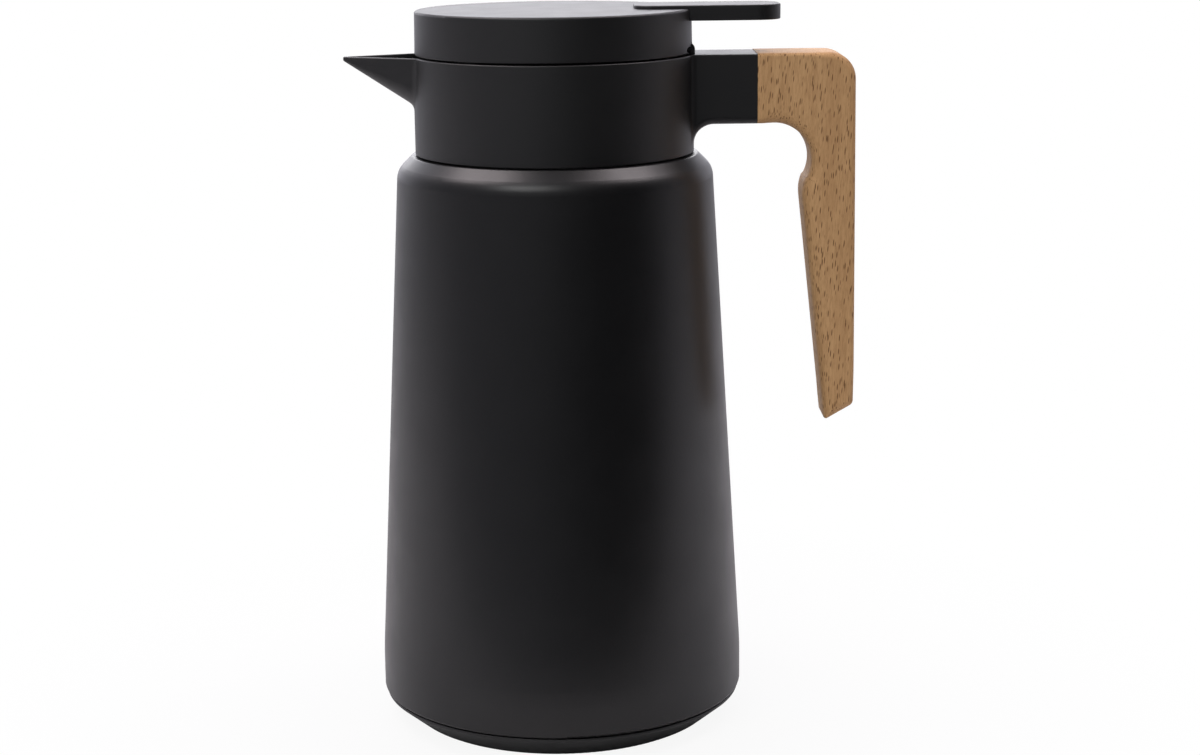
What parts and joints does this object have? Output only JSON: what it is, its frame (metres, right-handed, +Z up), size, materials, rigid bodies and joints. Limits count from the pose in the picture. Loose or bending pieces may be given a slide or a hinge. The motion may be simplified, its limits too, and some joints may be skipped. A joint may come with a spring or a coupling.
{
  "type": "thermal carafe with flip lid",
  "caption": "Vacuum-insulated steel serving carafe with a beak spout, a beech grip on a collar arm and a hinged lid that a thumb lever tips open.",
  "frame": {"origin": "centre of the foot ring's underside, on the table under the flask's axis", "axes": "+Z up along the flask's axis, +X towards the handle, the spout points along -X, and the hinge axis runs along Y"},
  "size_m": [0.2057, 0.1502, 0.2938],
  "materials": {
    "shell_coating": "black powder coat, satin with a fine grain",
    "bare_steel": "bare stainless steel",
    "black_moulding": "black plastic, satin",
    "beech": "beech, sanded and oiled, fine brown flecks",
    "silicone": "dark silicone, matte",
    "brass_insert": "plain turned brass",
    "foam": "rigid white foam"
  },
  "bodies": {
    "flask": {"outer_shell": "shell_coating", "neck_flange": "bare_steel", "neck_sleeve": "bare_steel", "inner_liner": "bare_steel", "bottom_plate": "bare_steel", "vacuum_seal": "bare_steel", "getter": "bare_steel", "base_cap": "black_moulding", "foot_ring": "silicone"},
    "top": {"collar": "black_moulding", "pouring_insert": "black_moulding", "thread_ring": "black_moulding", "neck_gasket": "silicone", "collar_seal": "silicone", "handle_grip": "beech", "handle_inserts": "brass_insert", "handle_bolts": "bare_steel", "hinge_pin": "bare_steel"},
    "lid": {"lid_cap": "black_moulding", "thumb_lever": "black_moulding", "lid_base": "black_moulding", "stopper_gasket": "silicone", "lid_insulation": "foam", "lid_screws": "bare_steel", "lever_screws": "bare_steel"}
  },
  "joints": [
    {"name": "top_unscrew", "type": "slide", "parent": "flask", "child": "top", "axis": [0, 0, 1], "range_m": [0, 0.14]},
    {"name": "lid_flip", "type": "hinge", "parent": "top", "child": "lid", "pos_m": [0.054, 0, 0.2764], "axis": [0, 1, 0], "range_deg": [0, 19]}
  ]
}
